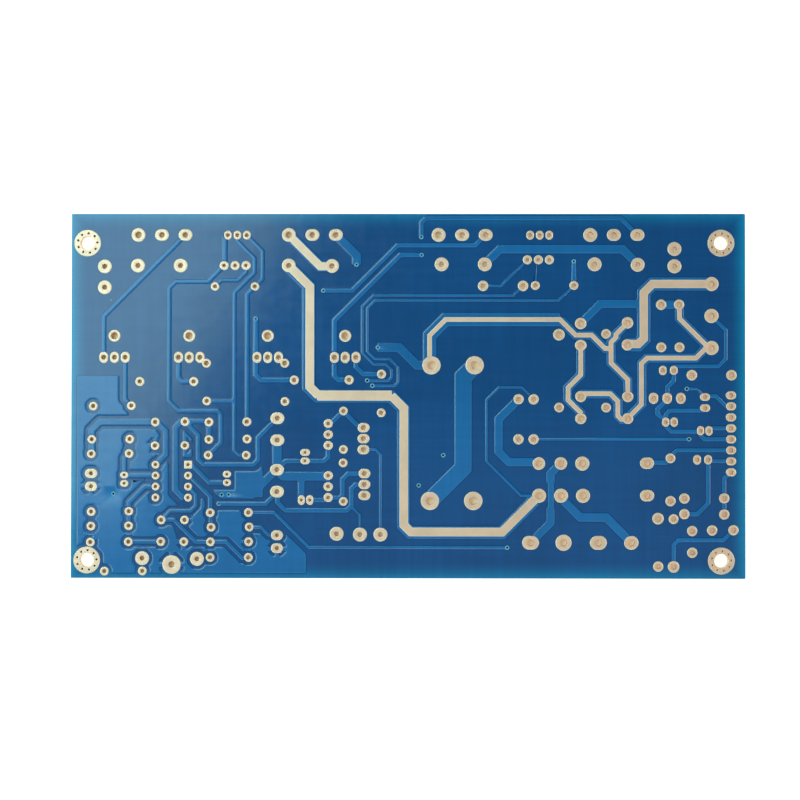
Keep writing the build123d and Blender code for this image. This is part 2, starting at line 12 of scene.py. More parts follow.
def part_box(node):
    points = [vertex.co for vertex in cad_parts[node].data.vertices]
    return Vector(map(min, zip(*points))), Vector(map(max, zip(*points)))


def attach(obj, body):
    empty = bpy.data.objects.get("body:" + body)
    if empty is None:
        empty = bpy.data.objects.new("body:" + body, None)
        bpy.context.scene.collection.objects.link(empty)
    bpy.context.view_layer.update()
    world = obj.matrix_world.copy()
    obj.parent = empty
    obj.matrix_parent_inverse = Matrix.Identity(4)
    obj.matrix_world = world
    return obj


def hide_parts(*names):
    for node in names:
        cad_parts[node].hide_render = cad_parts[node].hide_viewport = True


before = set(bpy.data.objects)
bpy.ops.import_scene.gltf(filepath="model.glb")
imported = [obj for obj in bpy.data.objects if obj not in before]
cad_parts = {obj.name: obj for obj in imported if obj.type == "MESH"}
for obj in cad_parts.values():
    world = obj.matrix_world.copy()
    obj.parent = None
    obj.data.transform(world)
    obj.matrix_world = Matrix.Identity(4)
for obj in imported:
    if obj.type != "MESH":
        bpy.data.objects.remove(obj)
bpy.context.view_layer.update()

bl_info = {
    "name": "Amplifier board",
    "version": (1, 0, 0),
    "blender": (4, 5, 0),
    "location": "View3D > Sidebar > Board",
    "description": "Builds the visible pieces of a bare amplifier circuit board around its solid model",
    "category": "Add Mesh",
}

# Outlines are worked out in millimetres and turned into metres when a mesh is made
MILLIMETRE = 0.001

# Distance within which corners count as one height, one line or one place
WELD = 0.002
STRAIGHT = 0.003
TOUCH = 0.012
SAME_PLACE = 0.1

# Widest inset round a small hole, and area below which a hole is small
SMALL_HOLE_ROOM = 0.25
SMALL_HOLE_AREA = 1.0

# Share of a loop's mean width that its widest inset takes up
INSET_SHARE = 0.42

# Part of a land's smaller side that an eight-sided solid cuts from each corner
CORNER_CUT = 0.293

# Corner radius of the square land, and width of the lands fused to the driver transistors' rows
SQUARE_CORNER = 0.12
FUSED_LAND = 2.0

# Corner radii of the board, the tracks, the pours and the bare stripes
BOARD_CORNER = 0.2
TRACK_CORNER = 0.45
POUR_CORNER = 1.4
POUR_SQUARE_CORNER = 0.35
STRIPE_CORNER = 0.35

# Small plated holes round each screw hole: count, circle they stand on, radius and turn
STITCHES = 9
STITCH_CIRCLE = 2.28
STITCH_RADIUS = 0.27
STITCH_TURN = math.radians(4)

# Places of the vias, measured from the board's lower left corner
VIAS = [
    (66.1, 72.6), (58.4, 66.6), (81.1, 79.0), (81.2, 74.85), (116.4, 73.4), (42.75, 60.1),
    (71.05, 53.4), (68.6, 45.75), (69.8, 44.55), (142.5, 43.9), (143.0, 32.25), (86.2, 28.5),
    (80.55, 21.5), (9.85, 19.5), (34.95, 19.3), (36.55, 19.3), (34.25, 17.2), (101.0, 7.15),
]


def node_box(name):
    """Low and high corners of a solid's node in millimetres."""
    low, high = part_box(name)
    return low / MILLIMETRE, high / MILLIMETRE


LAMINATE_LOW, LAMINATE_HIGH = node_box("laminate")
LAMINATE_TOP = LAMINATE_HIGH.z
LAMINATE_BASE = LAMINATE_LOW.z
LAND_TOP = node_box("mounting_eyelets")[1].z


class LacquerSettings(bpy.types.PropertyGroup):
    """Colours and sizes of the blue lacquer."""

    laminate_tint: bpy.props.FloatVectorProperty(
        name="Over laminate", description="Lacquer colour where it lies on bare laminate",
        subtype="COLOR", size=3, min=0, max=1, default=(0.004, 0.066, 0.210),
    )
    copper_tint: bpy.props.FloatVectorProperty(
        name="Over copper", description="Lacquer colour where copper lies under it",
        subtype="COLOR", size=3, min=0, max=1, default=(0.009, 0.128, 0.342),
    )
    # The shoulder colour is partly thin lacquer over the copper's edge and partly a painted highlight along
    # it
    shoulder_highlight_tint: bpy.props.FloatVectorProperty(
        name="Over edges", description="Lacquer colour where it runs thin over the edge of copper",
        subtype="COLOR", size=3, min=0, max=1, default=(0.012, 0.190, 0.440),
    )
    # The foot colour is partly darker pooled lacquer and partly painted shade in the crease beside copper
    foot_shade_tint: bpy.props.FloatVectorProperty(
        name="At the foot", description="Lacquer colour where it pools beside copper",
        subtype="COLOR", size=3, min=0, max=1, default=(0.003, 0.034, 0.130),
    )
    margin_tint: bpy.props.FloatVectorProperty(
        name="Margin", description="Lacquer colour along the board's edge, where light comes through",
        subtype="COLOR", size=3, min=0, max=1, default=(0.004, 0.235, 0.455),
    )
    film: bpy.props.FloatProperty(
        name="Film", description="Thickness of the lacquer in millimetres",
        min=0.005, max=0.05, default=0.015,
    )
    opening: bpy.props.FloatProperty(
        name="Opening", description="Gap between a land and the lacquer's edge in millimetres",
        min=0.0, max=0.3, default=0.06,
    )
    shoulder: bpy.props.FloatProperty(
        name="Shoulder", description="Width of the rounded shoulder along the edge of copper in millimetres",
        min=0.05, max=0.5, default=0.32,
    )
    skirt: bpy.props.FloatProperty(
        name="Skirt", description="Width of the pooled lacquer beside copper in millimetres",
        min=0.05, max=0.4, default=0.22,
    )
    margin: bpy.props.FloatProperty(
        name="Margin width", description="Width of the lighter margin along the board's edge in millimetres",
        min=0.5, max=10, default=4.2,
    )


class FinishSettings(bpy.types.PropertyGroup):
    """Colours and sizes of the lands, stripes and drilled holes."""

    gold_tint: bpy.props.FloatVectorProperty(
        name="Gold", description="Colour of the gold finish",
        subtype="COLOR", size=3, min=0, max=1, default=(0.80, 0.57, 0.41),
    )
    # Painted highlight on the rims of lands and stripes
    rim_highlight_tint: bpy.props.FloatVectorProperty(
        name="Rim", description="Colour of the finish on the edges of lands and stripes",
        subtype="COLOR", size=3, min=0, max=1, default=(0.92, 0.74, 0.56),
    )
    fibre_tint: bpy.props.FloatVectorProperty(
        name="Laminate", description="Colour of the cut glass-epoxy edge",
        subtype="COLOR", size=3, min=0, max=1, default=(0.42, 0.44, 0.22),
    )
    hole_share: bpy.props.FloatProperty(
        name="Hole share", description="Usual width of a lead hole as a share of its land's smaller side",
        min=0.2, max=0.6, default=0.46,
    )
    plating: bpy.props.FloatProperty(
        name="Plating", description="Wall thickness of the plated holes in millimetres",
        min=0.01, max=0.1, default=0.04,
    )
    back_copper: bpy.props.FloatProperty(
        name="Back land", description="Thickness of the lands on the component side in millimetres",
        min=0.01, max=0.07, default=0.05,
    )
    via_hole: bpy.props.FloatProperty(
        name="Via hole", description="Width of a via's hole in millimetres",
        min=0.2, max=0.6, default=0.46,
    )
    via_land: bpy.props.FloatProperty(
        name="Via land", description="Width of a via's lacquered land in millimetres",
        min=0.6, max=1.4, default=1.00,
    )


class StageSettings(bpy.types.PropertyGroup):
    """Floor, lamps and camera."""

    floor_tint: bpy.props.FloatVectorProperty(
        name="Floor", description="Colour of the floor",
        subtype="COLOR", size=3, min=0, max=1, default=(0.86, 0.86, 0.86),
    )
    key_radiance: bpy.props.FloatProperty(
        name="Key", description="Brightness of the soft box at the upper left", min=0, max=20, default=3.8,
    )
    fill_radiance: bpy.props.FloatProperty(
        name="Fill", description="Brightness of the warm lamps", min=0, max=20, default=4.0,
    )
    world_strength: bpy.props.FloatProperty(
        name="World", description="Strength of the light from all round", min=0, max=2, default=0.10,
    )
    lens: bpy.props.FloatProperty(
        name="Lens", description="Focal length on a 36 mm sensor", min=20, max=200, default=87.19,
    )


# Outlines


def signed_area(loop):
    """Area inside a loop, positive when it runs anticlockwise."""
    pairs = zip(loop, loop[1:] + loop[:1])
    return sum(a.x * b.y - b.x * a.y for a, b in pairs) / 2


def boundary_loops(triangles):
    """Chains the outer edges of a set of triangles into loops with the surface on their left."""
    edges = set()
    for corners in triangles:
        for start, end in zip(corners, corners[1:] + corners[:1]):
            if (end, start) in edges:
                edges.remove((end, start))
            else:
                edges.add((start, end))
    follow = {}
    for start, end in sorted(edges):
        follow.setdefault(start, []).append(end)
    loops = []
    while follow:
        start = next(iter(follow))
        loop = [start]
        here = start
        while True:
            ends = follow[here]
            there = ends.pop()
            if not ends:
                del follow[here]
            if there == start:
                break
            loop.append(there)
            here = there
        loops.append(loop)
    return loops


def straightened(loop):
    """Drops doubled points and points on a straight run."""
    spread = [p for p, q in zip(loop, loop[1:] + loop[:1]) if (q - p).length > STRAIGHT]
    kept = []
    count = len(spread)
    for index, point in enumerate(spread):
        before = spread[index - 1]
        after = spread[(index + 1) % count]
        chord = after - before
        if abs(chord.cross(point - before)) > STRAIGHT * chord.length:
            kept.append(point)
    return kept


def top_loops(name):
    """Outline loops of a node's top face, each with the copper on its left."""
    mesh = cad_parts[name].data
    top = max(vertex.co.z for vertex in mesh.vertices)
    triangles = []
    for face in mesh.polygons:
        points = [mesh.vertices[index].co for index in face.vertices]
        if all(abs(point.z - top) < MILLIMETRE * WELD for point in points):
            triangles.append([(round(p.x / MILLIMETRE, 3), round(p.y / MILLIMETRE, 3)) for p in points])
    return [straightened([Vector(point) for point in loop]) for loop in boundary_loops(triangles)]


def wound(spots, loops):
    """How many times the loops run anticlockwise round each spot."""
    total = np.zeros(len(spots), int)
    x, y = spots[:, 0:1], spots[:, 1:2]
    for loop in loops:
        start = np.array([point[:] for point in loop])
        end = np.roll(start, -1, axis=0)
        rising = (start[:, 1] <= y) & (end[:, 1] > y)
        falling = (start[:, 1] > y) & (end[:, 1] <= y)
        side = (end[:, 0] - start[:, 0]) * (y - start[:, 1]) - (x - start[:, 0]) * (end[:, 1] - start[:, 1])
        total += (rising & (side > 0)).sum(axis=1) - (falling & (side < 0)).sum(axis=1)
    return total


def fill(loops):
    """Triangles over the area that the loops run round; a loop round a hole runs clockwise."""
    points = []
    edges = []
    for loop in loops:
        first = len(points)
        count = len(loop)
        edges.extend((first + n, first + (n + 1) % count) for n in range(count))
        points.extend(loop)
    result = delaunay_2d_cdt(points, edges, [], 0, 1e-5)
    corners, triangles = result[0], [list(triangle) for triangle in result[2]]
    places = np.array([corner[:] for corner in corners])
    middles = places[np.array(triangles)].mean(axis=1)
    inside = wound(middles, loops) > 0
    return corners, [triangle for triangle, kept in zip(triangles, inside) if kept]


def merged(loops):
    """New loops round the area that overlapping loops cover."""
    corners, triangles = fill(loops)
    return [straightened([corners[index] for index in loop]) for loop in boundary_loops(triangles)]


def split_loops(loops):
    """Parts outer loops from the loops round holes."""
    outer = [loop for loop in loops if signed_area(loop) > 0]
    inner = [loop for loop in loops if signed_area(loop) <= 0]
    return outer, inner


def rounded(loop, radius, corner_radius=None):
    """Rounds a loop's corners to a radius, or to less where an edge is short.

    Square corners may have a radius of their own.
    """
    least_turn, square_turn, sharpest_turn = math.radians(20), math.radians(70), 2.6
    step = math.radians(11)
    edge_share = 0.46
    points = []
    count = len(loop)
    for index, corner in enumerate(loop):
        back = loop[index - 1] - corner
        ahead = loop[(index + 1) % count] - corner
        turn = math.pi - back.angle(ahead)
        if turn < least_turn:
            points.append(corner)
            continue
        wanted = corner_radius if corner_radius and turn > square_turn else radius
        longest = edge_share * min(back.length, ahead.length)
        reach = min(wanted * math.tan(min(turn, sharpest_turn) / 2), longest)
        start = corner + back.normalized() * reach
        end = corner + ahead.normalized() * reach
        pieces = max(2, round(turn / step))
        for part in range(pieces + 1):
            share = part / pieces
            bend = start * (1 - share) ** 2 + corner * (2 * share * (1 - share)) + end * share ** 2
            points.append(bend)
    return points


def inset(loop, distance):
    """Moves a loop towards the surface on its left, with limited mitres."""
    least_slope, folded = 0.55, 0.3
    points = []
    count = len(loop)
    for index, corner in enumerate(loop):
        before = (corner - loop[index - 1]).normalized()
        after = (loop[(index + 1) % count] - corner).normalized()
        normal = Vector((-before.y - after.y, before.x + after.x))
        if normal.length < folded:
            normal = Vector((-before.y, before.x))
        normal.normalize()
        slope = max(least_slope, normal.dot(Vector((-before.y, before.x))))
        points.append(corner + normal * (distance / slope))
    return points


def small_hole(loop):
    """True for a loop round a small hole, such as a via's."""
    return -SMALL_HOLE_AREA < signed_area(loop) < 0.0


def room(loop, distance, widest):
    """An inset as far as a loop has room for it, where widest is the greatest that is asked for."""
    if small_hole(loop):
        return min(max(distance, 0.0), SMALL_HOLE_ROOM)
    if distance <= 0 or signed_area(loop) < 0:
        return distance
    perimeter = sum((end - start).length for start, end in zip(loop, loop[1:] + loop[:1]))
    mean_width = 2 * signed_area(loop) / perimeter
    return distance * min(1.0, INSET_SHARE * mean_width / widest)


def circle(centre, radius, segments=32):
    """A round loop, anticlockwise."""
    angles = [2 * math.pi * n / segments for n in range(segments)]
    return [Vector((centre[0] + radius * math.cos(a), centre[1] + radius * math.sin(a))) for a in angles]


def board_point(x, y):
    """A place given from the board's lower left corner, in the frame."""
    return Vector((LAMINATE_LOW.x + x, LAMINATE_LOW.y + y))


# Lands


class Land:
    """One land read from the solids: its centre, its width and height, and its lead hole's radius."""

    def __init__(self, low, high, hole, square=False):
        self.centre = (low + high) / 2
        self.size = high - low
        self.hole = hole
        self.square = square

    def outline(self, grow=0.0, segments=32):
        """The land's loop: round, or straight-sided with round ends."""
        width, height = self.size.x / 2 + grow, self.size.y / 2 + grow
        corner = SQUARE_CORNER if self.square else min(width, height)
        reach = Vector((width - corner, height - corner))
        points = []
        for n in range(segments):
            angle = 2 * math.pi * (n + 0.5) / segments
            side_x = math.copysign(reach.x, math.cos(angle))
            side_y = math.copysign(reach.y, math.sin(angle))
            points.append(self.centre + Vector((
                side_x + corner * math.cos(angle), side_y + corner * math.sin(angle),
            )))
        return points

    def meets(self, point):
        """True where a point lies on the solid land's eight-sided edge."""
        offset = point - self.centre
        width, height = self.size.x / 2, self.size.y / 2
        across = max(abs(offset.x) - width, abs(offset.y) - height)
        if not self.square:
            cut = 2 * CORNER_CUT * min(width, height)
            across = max(across, (abs(offset.x) + abs(offset.y) - (width + height - cut)) / math.sqrt(2))
        return abs(across) < TOUCH


def loop_corners(loop):
    """Low and high corners of a loop's box."""
    low = Vector((min(p.x for p in loop), min(p.y for p in loop)))
    high = Vector((max(p.x for p in loop), max(p.y for p in loop)))
    return low, high


def centred(box, centre):
    """True where a box of a low and a high corner stands round a centre."""
    return ((box[0] + box[1]) / 2 - centre).length < SAME_PLACE


def node_lands(name, hole_share):
    """The lands of a node; the last land of a row and the land fused to it are taken apart."""
    outer, inner = split_loops(top_loops(name))
    boxes = [loop_corners(loop) for loop in outer]
    drilled = [loop_corners(loop) for loop in inner]
    plain = [box for box, loop in zip(boxes, outer) if len(loop) <= 8]
    pairs = [box for box, loop in zip(boxes, outer) if len(loop) > 8]
    for low, high in pairs:
        pin = plain[0][1] - plain[0][0]
        plain.append((Vector((low.x, high.y - pin.y)), Vector((low.x + pin.x, high.y))))
        plain.append((Vector((high.x - FUSED_LAND, low.y)), Vector((high.x, low.y + FUSED_LAND))))
    lands = []
    for low, high in plain:
        centre = (low + high) / 2
        size = high - low
        radius = hole_share * min(size.x, size.y) / 2
        for box in drilled:
            if centred(box, centre):
                radius = (box[1].x - box[0].x) / 2
        lands.append(Land(low, high, radius, name == "first_pin_land"))
    return lands


LAND_NODES = sorted(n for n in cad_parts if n.endswith("_lands") or n == "first_pin_land")
TRACK_NODES = sorted(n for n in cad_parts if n.endswith("_tracks") or n.endswith("_copper"))
POUR_NODES = sorted(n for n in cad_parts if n.endswith("_pour"))
STRIPE_NODES = sorted(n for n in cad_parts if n.endswith("_bare_stripe"))
HOLE_SHARE = FinishSettings.__annotations__["hole_share"].keywords["default"]

# Lead holes whose share of their land's smaller side isn't the usual one
LEAD_SHARES = {
    "bias_diode_lands": 0.52, "bias_transistor_lands": 0.52, "bias_trimmer_lands": 0.37,
    "driver_transistor_lands": 0.54, "emitter_resistor_lands": 0.37, "film_capacitor_lands": 0.42,
    "first_pin_land": 0.42, "fuse_clip_lands": 0.50, "input_connector_lands": 0.34,
    "input_pair_lands": 0.40, "output_coil_lands": 0.36, "power_transistor_lands": 0.47,
    "preamplifier_chip_lands": 0.42, "protection_chip_lands": 0.55, "protection_resistor_lands": 0.50,
    "protection_transistor_lands": 0.54, "relay_coil_lands": 0.58, "relay_lands": 0.53,
}
LANDS = {name: node_lands(name, LEAD_SHARES.get(name, HOLE_SHARE)) for name in LAND_NODES}
EVERY_LAND = [land for lands in LANDS.values() for land in lands]
VIA_CENTRES = [board_point(x, y) for x, y in VIAS]


def eyelets():
    """Centre, ring radius and bore radius of each screw hole."""
    outer, inner = split_loops(top_loops("mounting_eyelets"))
    found = []
    for loop in outer:
        low, high = loop_corners(loop)
        centre = (low + high) / 2
        bore_low, bore_high = next(box for box in map(loop_corners, inner) if centred(box, centre))
        found.append((centre, (high.x - low.x) / 2, (bore_high.x - bore_low.x) / 2))
    return found


EYELETS = eyelets()


def stitch_centres(centre):
    """Places of the small plated holes round one screw hole."""
    angles = [STITCH_TURN + 2 * math.pi * n / STITCHES for n in range(STITCHES)]
    return [centre + STITCH_CIRCLE * Vector((math.cos(a), math.sin(a))) for a in angles]


# Meshes


class Shell:
    """Collects the faces of one piece, with a shoulder, a foot and a copper value at each corner."""

    def __init__(self):
        self.bm = bmesh.new()
        self.layers = {key: self.bm.verts.layers.float.new(key) for key in ("shoulder", "foot", "copper")}

    def point(self, x, y, z, values):
        """Adds one corner."""
        corner = self.bm.verts.new((x * MILLIMETRE, y * MILLIMETRE, z * MILLIMETRE))
        for key, value in values.items():
            corner[self.layers[key]] = value
        return corner

    def ring(self, loop, z, **values):
        """Adds a ring of corners at a height."""
        return [self.point(p.x, p.y, z, values) for p in loop]

    def band(self, lower, upper):
        """Joins two rings with a band of faces."""
        count = len(lower)
        for n in range(count):
            m = (n + 1) % count
            self.bm.faces.new((lower[n], lower[m], upper[m], upper[n]))

    def sheet(self, loops, z, up=True, **values):
        """Fills an area at a height."""
        corners, triangles = fill(loops)
        points = [self.point(c.x, c.y, z, values) for c in corners]
        for a, b, c in triangles:
            order = (a, b, c) if up else (c, b, a)
            self.bm.faces.new([points[n] for n in order])

    def plate(self, loops, levels, small_values=None):
        """A closed plate: each level is an inset, a height and the values there, from base to top.

        A small hole, such as a via's, keeps its width at a level that spreads outwards, and may have
        values of its own.
        """
        widest = max(distance for distance, _, _ in levels)
        self.stack([
            ([inset(loop, room(loop, distance, widest)) for loop in loops], z, values)
            for distance, z, values in levels
        ], small_values)

    def stack(self, levels, small_values=None):
        """A closed plate from levels of loops, a height and the values there, from base to top."""
        rings = [
            [
                self.ring(loop, z, **(small_values if small_values and small_hole(loop) else values))
                for loop in loops
            ]
            for loops, z, values in levels
        ]
        for lower, upper in zip(rings, rings[1:]):
            for low_ring, high_ring in zip(lower, upper):
                self.band(low_ring, high_ring)
        for (loops, z, values), up in ((levels[0], False), (levels[-1], True)):
            self.sheet(loops, z, up, **values)

    def tube(self, centre, radius, wall, low, high, segments):
        """A plated barrel."""
        outside = circle(centre, radius + wall, segments)
        inside = circle(centre, radius, segments)
        corners = ((outside, low), (outside, high), (inside, high), (inside, low))
        rings = [self.ring(loop, z) for loop, z in corners]
        for ring, after in zip(rings, rings[1:] + rings[:1]):
            self.band(ring, after)

    def piece(self, name, material, slot, *nodes, smooth=None):
        """Turns the shell into an object that rides on the board and stands for the nodes."""
        same, flat = 2e-7, 1e-7
        bmesh.ops.remove_doubles(self.bm, verts=self.bm.verts, dist=same)
        bmesh.ops.dissolve_degenerate(self.bm, dist=flat, edges=self.bm.edges)
        mesh = bpy.data.meshes.new(name)
        self.bm.to_mesh(mesh)
        self.bm.free()
        mesh.materials.append(material)
        made = bpy.data.objects.new(name, mesh)
        bpy.context.scene.collection.objects.link(made)
        if smooth:
            mesh.shade_smooth()
            mesh.set_sharp_from_angle(angle=smooth)
        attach(made, "root")
        if nodes:
            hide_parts(*nodes)
        return made


# Materials

WHITE = (1.0, 1.0, 1.0)
DUST_TINT = (0.45, 0.55, 0.6)
# Via rims: pale thin lacquer over copper, partly a painted highlight on the raised rim
VIA_RIM_HIGHLIGHT_TINTS = ((0.09, 0.31, 0.45), (0.14, 0.40, 0.53))
# Painted shade down inside the vias
VIA_SHADE_TINT = (0.001, 0.006, 0.014)
LOOSE_THREAD_TINT = (0.62, 0.62, 0.48)

# Limits of the noise between which a finish changes from one state to the other
MOTTLE = (0.3, 0.7)

# Painted glow in the lead holes, rising from the board's left end to its right, and the colours seen down in
# them: the glow's tint and a painted warm reflection of the gold barrels on the floor
HOLE_LIGHT = (0.04, 0.30)
HOLE_GLOW_TINT = (1.0, 0.84, 0.60)
HOLE_FLOOR_REFLECTION_TINT = (0.84, 0.64, 0.40)


class Surface:
    """A node material with a Principled shader, built up call by call."""

    def __init__(self, name):
        self.material = bpy.data.materials.new(name)
        self.material.use_nodes = True
        self.tree = self.material.node_tree
        self.shader = self.tree.nodes["Principled BSDF"]
        self.place = self.node("ShaderNodeTexCoord").outputs["Object"]

    def node(self, kind, **settings):
        """Adds a node with its settings."""
        made = self.tree.nodes.new(kind)
        for key, value in settings.items():
            setattr(made, key, value)
        return made

    def put(self, node, socket, value):
        """Links a socket, or sets it to a value."""
        if isinstance(value, bpy.types.NodeSocket):
            self.tree.links.new(value, node.inputs[socket])
        else:
            node.inputs[socket].default_value = value

    def math(self, operation, a, b=0.0, c=0.0):
        """One step of arithmetic."""
        made = self.node("ShaderNodeMath", operation=operation)
        for socket, value in enumerate((a, b, c)):
            self.put(made, socket, value)
        return made.outputs[0]

    def span(self, value, low, high, out_low=0.0, out_high=1.0):
        """A smooth step of a value between two limits."""
        made = self.node("ShaderNodeMapRange", interpolation_type="SMOOTHSTEP")
        for socket, entry in (("Value", value), ("From Min", low), ("From Max", high)):
            self.put(made, socket, entry)
        self.put(made, "To Min", out_low)
        self.put(made, "To Max", out_high)
        return made.outputs["Result"]

    def mix(self, share, a, b, blend="MIX"):
        """Blends two colours."""
        made = self.node("ShaderNodeMix", data_type="RGBA", blend_type=blend)
        self.put(made, "Factor", share)
        self.put(made, "A", colour(a))
        self.put(made, "B", colour(b))
        return made.outputs["Result"]

    def value(self, name):
        """A value kept at the mesh's corners."""
        return self.node("ShaderNodeAttribute", attribute_name=name).outputs["Fac"]

    def noise(self, scale, detail=2.0, stretch=(1, 1, 1), roughness=0.5):
        """Noise over the object, stretched along an axis."""
        mapping = self.node("ShaderNodeMapping")
        self.put(mapping, "Vector", self.place)
        mapping.inputs["Scale"].default_value = stretch
        made = self.node("ShaderNodeTexNoise")
        self.put(made, "Vector", mapping.outputs["Vector"])
        self.put(made, "Scale", scale)
        self.put(made, "Detail", detail)
        self.put(made, "Roughness", roughness)
        return made.outputs["Fac"]

    def axis(self, name):
        """One coordinate of the place on the object, in metres."""
        split = self.node("ShaderNodeSeparateXYZ")
        self.put(split, "Vector", self.place)
        return split.outputs[name]

    def bump(self, height, strength, distance):
        """Sets the surface's bump from a height."""
        made = self.node("ShaderNodeBump")
        self.put(made, "Height", height)
        self.put(made, "Strength", strength)
        self.put(made, "Distance", distance)
        self.put(self.shader, "Normal", made.outputs["Normal"])

    def finish(self, colour_socket, roughness, **sockets):
        """Sets the shader's colour, roughness and plain sockets."""
        self.put(self.shader, "Base Color", colour_socket)
        self.put(self.shader, "Roughness", roughness)
        for key, value in sockets.items():
            self.put(self.shader, key.replace("_", " "), value)
        return self.material


def colour(value):
    """A colour with its alpha, or a socket as it is."""
    if isinstance(value, bpy.types.NodeSocket):
        return value
    return (*value, 1.0)


def millimetres(length):
    """A length in metres from one in millimetres."""
    return length * MILLIMETRE


def blue_lacquer(settings):
    """Glossy blue lacquer, dark over laminate and lighter over copper, with a light line along edges that is
    partly thin lacquer and partly a painted highlight, and painted shade at the foot of copper.
    """
    surface = Surface("blue_lacquer")
    x, y = surface.axis("X"), surface.axis("Y")
    half_length, half_width = millimetres(LAMINATE_HIGH.x), millimetres(LAMINATE_HIGH.y)
    # Painted glow: light coming through the laminate lightens the lacquer near the board's edge, most at the
    # ends
    end_glow, long_side_glow, fall_off = 1.0, 0.68, 2.2
    foot_shade_share, shoulder_highlight_share, fleck_share = 0.6, 0.5, 0.6
    glows = []
    for place, half, strength in ((x, half_length, end_glow), (y, half_width, long_side_glow)):
        gap = surface.math("SUBTRACT", half, surface.math("ABSOLUTE", place))
        nearness = surface.math("SUBTRACT", 1.0, surface.math("DIVIDE", gap, millimetres(settings.margin)))
        glow = surface.math("POWER", surface.math("MAXIMUM", nearness, 0.0), fall_off)
        glows.append(surface.math("MULTIPLY", glow, strength))
    margin = surface.math("MAXIMUM", *glows)
    cloud = surface.noise(28, 3.0)
    weave_x = surface.noise(900, 2.0, (0.05, 1, 1))
    weave_y = surface.noise(900, 2.0, (1, 0.05, 1))
    weave = surface.math("ADD", weave_x, weave_y)
    over_laminate = surface.mix(margin, settings.laminate_tint, settings.margin_tint)
    over_copper = surface.mix(surface.value("copper"), over_laminate, settings.copper_tint)
    # Painted shade: the foot value darkens the lacquer beside copper, where it also pools
    foot = surface.math("MULTIPLY", surface.value("foot"), foot_shade_share)
    # Painted highlight: the shoulder value lightens the lacquer along copper edges, where it also runs thin
    shoulder = surface.math("MULTIPLY", surface.value("shoulder"), shoulder_highlight_share)
    pooled = surface.mix(foot, over_copper, settings.foot_shade_tint)
    thin = surface.mix(shoulder, pooled, settings.shoulder_highlight_tint)
    clouded = surface.span(cloud, *MOTTLE, 0.90, 1.06)
    woven = surface.span(weave, 0.7, 1.3, -0.05, 0.05)
    shade = surface.math("ADD", clouded, woven)
    grey = surface.node("ShaderNodeCombineColor")
    for channel in ("Red", "Green", "Blue"):
        surface.put(grey, channel, shade)
    tinted = surface.mix(1.0, thin, grey.outputs["Color"], "MULTIPLY")
    flecks = surface.node("ShaderNodeTexVoronoi")
    surface.put(flecks, "Vector", surface.place)
    surface.put(flecks, "Scale", 230.0)
    surface.put(flecks, "Randomness", 1.0)
    fleck = surface.span(flecks.outputs["Distance"], 0.02, 0.035, 1.0, 0.0)
    rare = surface.math("GREATER_THAN", surface.noise(160, 0.0), 0.72)
    dust = surface.math("MULTIPLY", surface.math("MULTIPLY", fleck, rare), fleck_share)
    dusted = surface.mix(dust, tinted, DUST_TINT)
    ripple = surface.math("ADD", surface.noise(260, 2.0), surface.math("MULTIPLY", weave, 0.6))
    surface.bump(ripple, 0.16, 0.00006)
    gloss = surface.span(surface.noise(420, 3.0), *MOTTLE, 0.13, 0.18)
    return surface.finish(dusted, gloss, IOR=1.5)


def satin_gold(settings):
    """Pale satin gold over copper, with a painted highlight along its rims."""
    surface = Surface("satin_gold")
    grain = surface.noise(1800, 4.0, (1, 1, 1), 0.6)
    patch = surface.noise(240, 3.0)
    darker = [channel * 0.90 for channel in settings.gold_tint]
    body = surface.mix(surface.span(patch, *MOTTLE), settings.gold_tint, darker)
    rim_highlight_share = 0.8
    # Painted highlight: the shoulder value lightens the gold along its rims
    rim = surface.math("MULTIPLY", surface.value("shoulder"), rim_highlight_share)
    highlit_rims = surface.mix(rim, body, settings.rim_highlight_tint)
    surface.bump(grain, 0.25, 0.00001)
    gloss = surface.span(grain, *MOTTLE, 0.34, 0.44)
    return surface.finish(highlit_rims, gloss, Metallic=0.38, IOR=1.5)


def tented_rim():
    """Thin pale lacquer over the rim of a via, partly a painted highlight, with painted shade down inside it.
    """
    surface = Surface("tented_rim")
    patch = surface.noise(900, 2.0)
    # Partly a painted highlight: the whole raised via rim is made pale
    rim = surface.mix(surface.span(patch, *MOTTLE), *VIA_RIM_HIGHLIGHT_TINTS)
    rim_and_painted_shade = surface.mix(surface.value("foot"), rim, VIA_SHADE_TINT)
    surface.bump(patch, 0.2, 0.00002)
    return surface.finish(rim_and_painted_shade, surface.span(patch, *MOTTLE, 0.20, 0.28), IOR=1.5)


def cut_laminate(settings):
    """Glass-epoxy laminate, with its layers of cloth showing at the cut edge."""
    surface = Surface("cut_laminate")
    layers = surface.noise(60, 2.0, (4, 4, 130))
    threads = surface.noise(1500, 3.0, (1, 1, 0.4))
    pale = [min(1.0, channel * 1.35) for channel in settings.fibre_tint]
    body = surface.mix(surface.span(layers, 0.35, 0.65), settings.fibre_tint, pale)
    worn = surface.mix(surface.span(threads, 0.5, 0.75, 0.0, 0.4), body, LOOSE_THREAD_TINT)
    surface.bump(surface.math("ADD", layers, threads), 0.4, 0.00008)
    return surface.finish(worn, 0.62, Subsurface_Weight=0.15)


